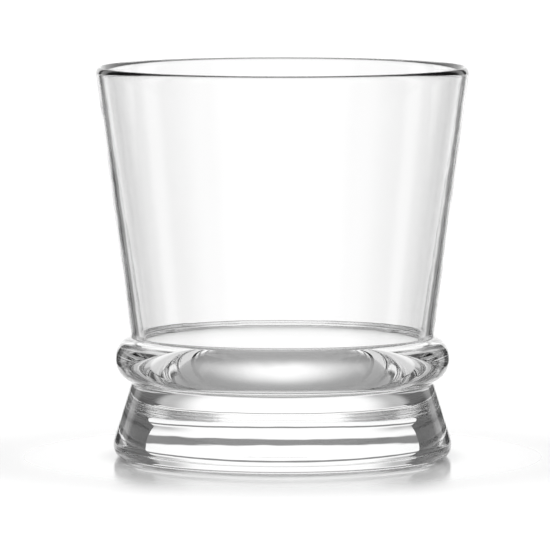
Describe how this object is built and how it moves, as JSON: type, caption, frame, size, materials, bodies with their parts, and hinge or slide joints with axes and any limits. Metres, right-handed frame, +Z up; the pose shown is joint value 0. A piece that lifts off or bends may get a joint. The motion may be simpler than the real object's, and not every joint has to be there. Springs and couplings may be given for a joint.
{
  "type": "whiskey tumbler",
  "caption": "Clear pressed-glass whiskey tumbler: tapered bowl with a rounded inner bottom, round bead below the bowl and a flared solid foot with a shallow domed recess.",
  "frame": {"origin": "centre of the flat ring that the tumbler stands on", "axes": "+Z up along the axis of revolution; the tumbler is round about Z, so +X and +Y are free"},
  "size_m": [0.09, 0.09, 0.0945],
  "materials": {
    "clear_glass": "clear colourless soda-lime glass, pressed and fire-polished"
  },
  "bodies": {
    "root": {"glass_tumbler": "clear_glass"}
  },
  "joints": []
}
